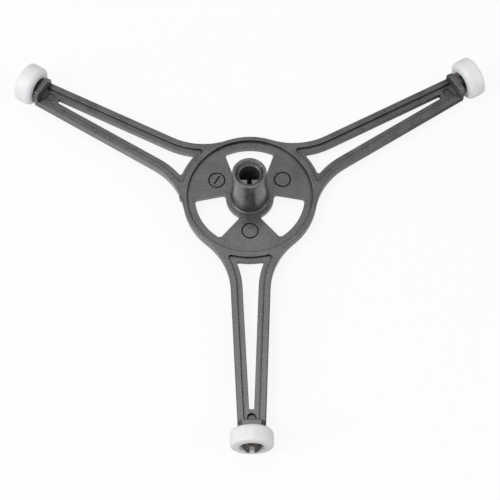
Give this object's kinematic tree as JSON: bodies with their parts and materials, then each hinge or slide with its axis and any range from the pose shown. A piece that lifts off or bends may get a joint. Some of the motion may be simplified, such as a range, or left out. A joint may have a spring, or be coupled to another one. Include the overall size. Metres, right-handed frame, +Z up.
{
  "type": "microwave roller ring",
  "caption": "Spider of forked plastic arms round a hub with a D-shaped drive socket; a white roller on each arm's snap pin carries a microwave oven's glass tray.",
  "frame": {"origin": "on the hub's axis, in the plane that the rollers stand on with the drive socket up", "axes": "+Z up along the hub's axis out of the socket's mouth; one arm points along -Y, the others along 30 and 150 degrees from +X"},
  "size_m": [0.1686, 0.1477, 0.0216],
  "materials": {
    "spider": "dark grey moulded plastic with a fine satin grain",
    "roller": "smooth white moulded plastic"
  },
  "bodies": {
    "spider": {"spider": "spider"},
    "roller_front": {"roller_front": "roller"},
    "roller_right": {"roller_right": "roller"},
    "roller_left": {"roller_left": "roller"}
  },
  "joints": [
    {"name": "roller_front_spin", "type": "hinge", "parent": "spider", "child": "roller_front", "pos_m": [0, -0.0907, 0.00715], "axis": [0, -1, 0], "continuous": true},
    {"name": "roller_right_spin", "type": "hinge", "parent": "spider", "child": "roller_right", "pos_m": [0.07871, 0.04544, 0.00715], "axis": [0.866, 0.5, 0], "continuous": true},
    {"name": "roller_left_spin", "type": "hinge", "parent": "spider", "child": "roller_left", "pos_m": [-0.07813, 0.04511, 0.00715], "axis": [-0.866, 0.5, 0], "continuous": true}
  ]
}
